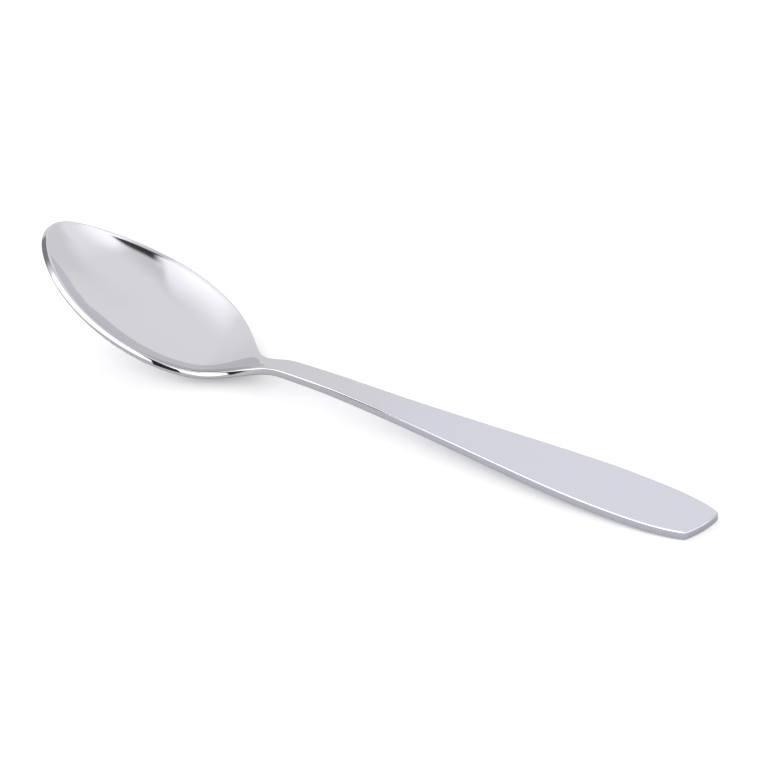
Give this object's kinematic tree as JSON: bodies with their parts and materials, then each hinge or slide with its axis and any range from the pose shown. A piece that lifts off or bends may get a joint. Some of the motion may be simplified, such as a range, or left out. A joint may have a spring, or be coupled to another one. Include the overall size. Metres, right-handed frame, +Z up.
{
  "type": "baby spoon",
  "caption": "One-piece stainless steel baby spoon with a broad shallow bowl, a narrow neck and a flat handle that widens to a blunt end.",
  "frame": {"origin": "on the table under the middle of the spoon's box: the spoon rests on Z = 0 on the belly of its bowl and the end of its handle", "axes": "+X along the spoon from the tip of the bowl to the end of the handle, +Y across it, +Z up out of the open bowl"},
  "size_m": [0.1398, 0.0282, 0.0178],
  "materials": {
    "polished_steel": "polished stainless steel, bright, with faint polishing lines"
  },
  "bodies": {
    "root": {"spoon": "polished_steel"}
  },
  "joints": []
}
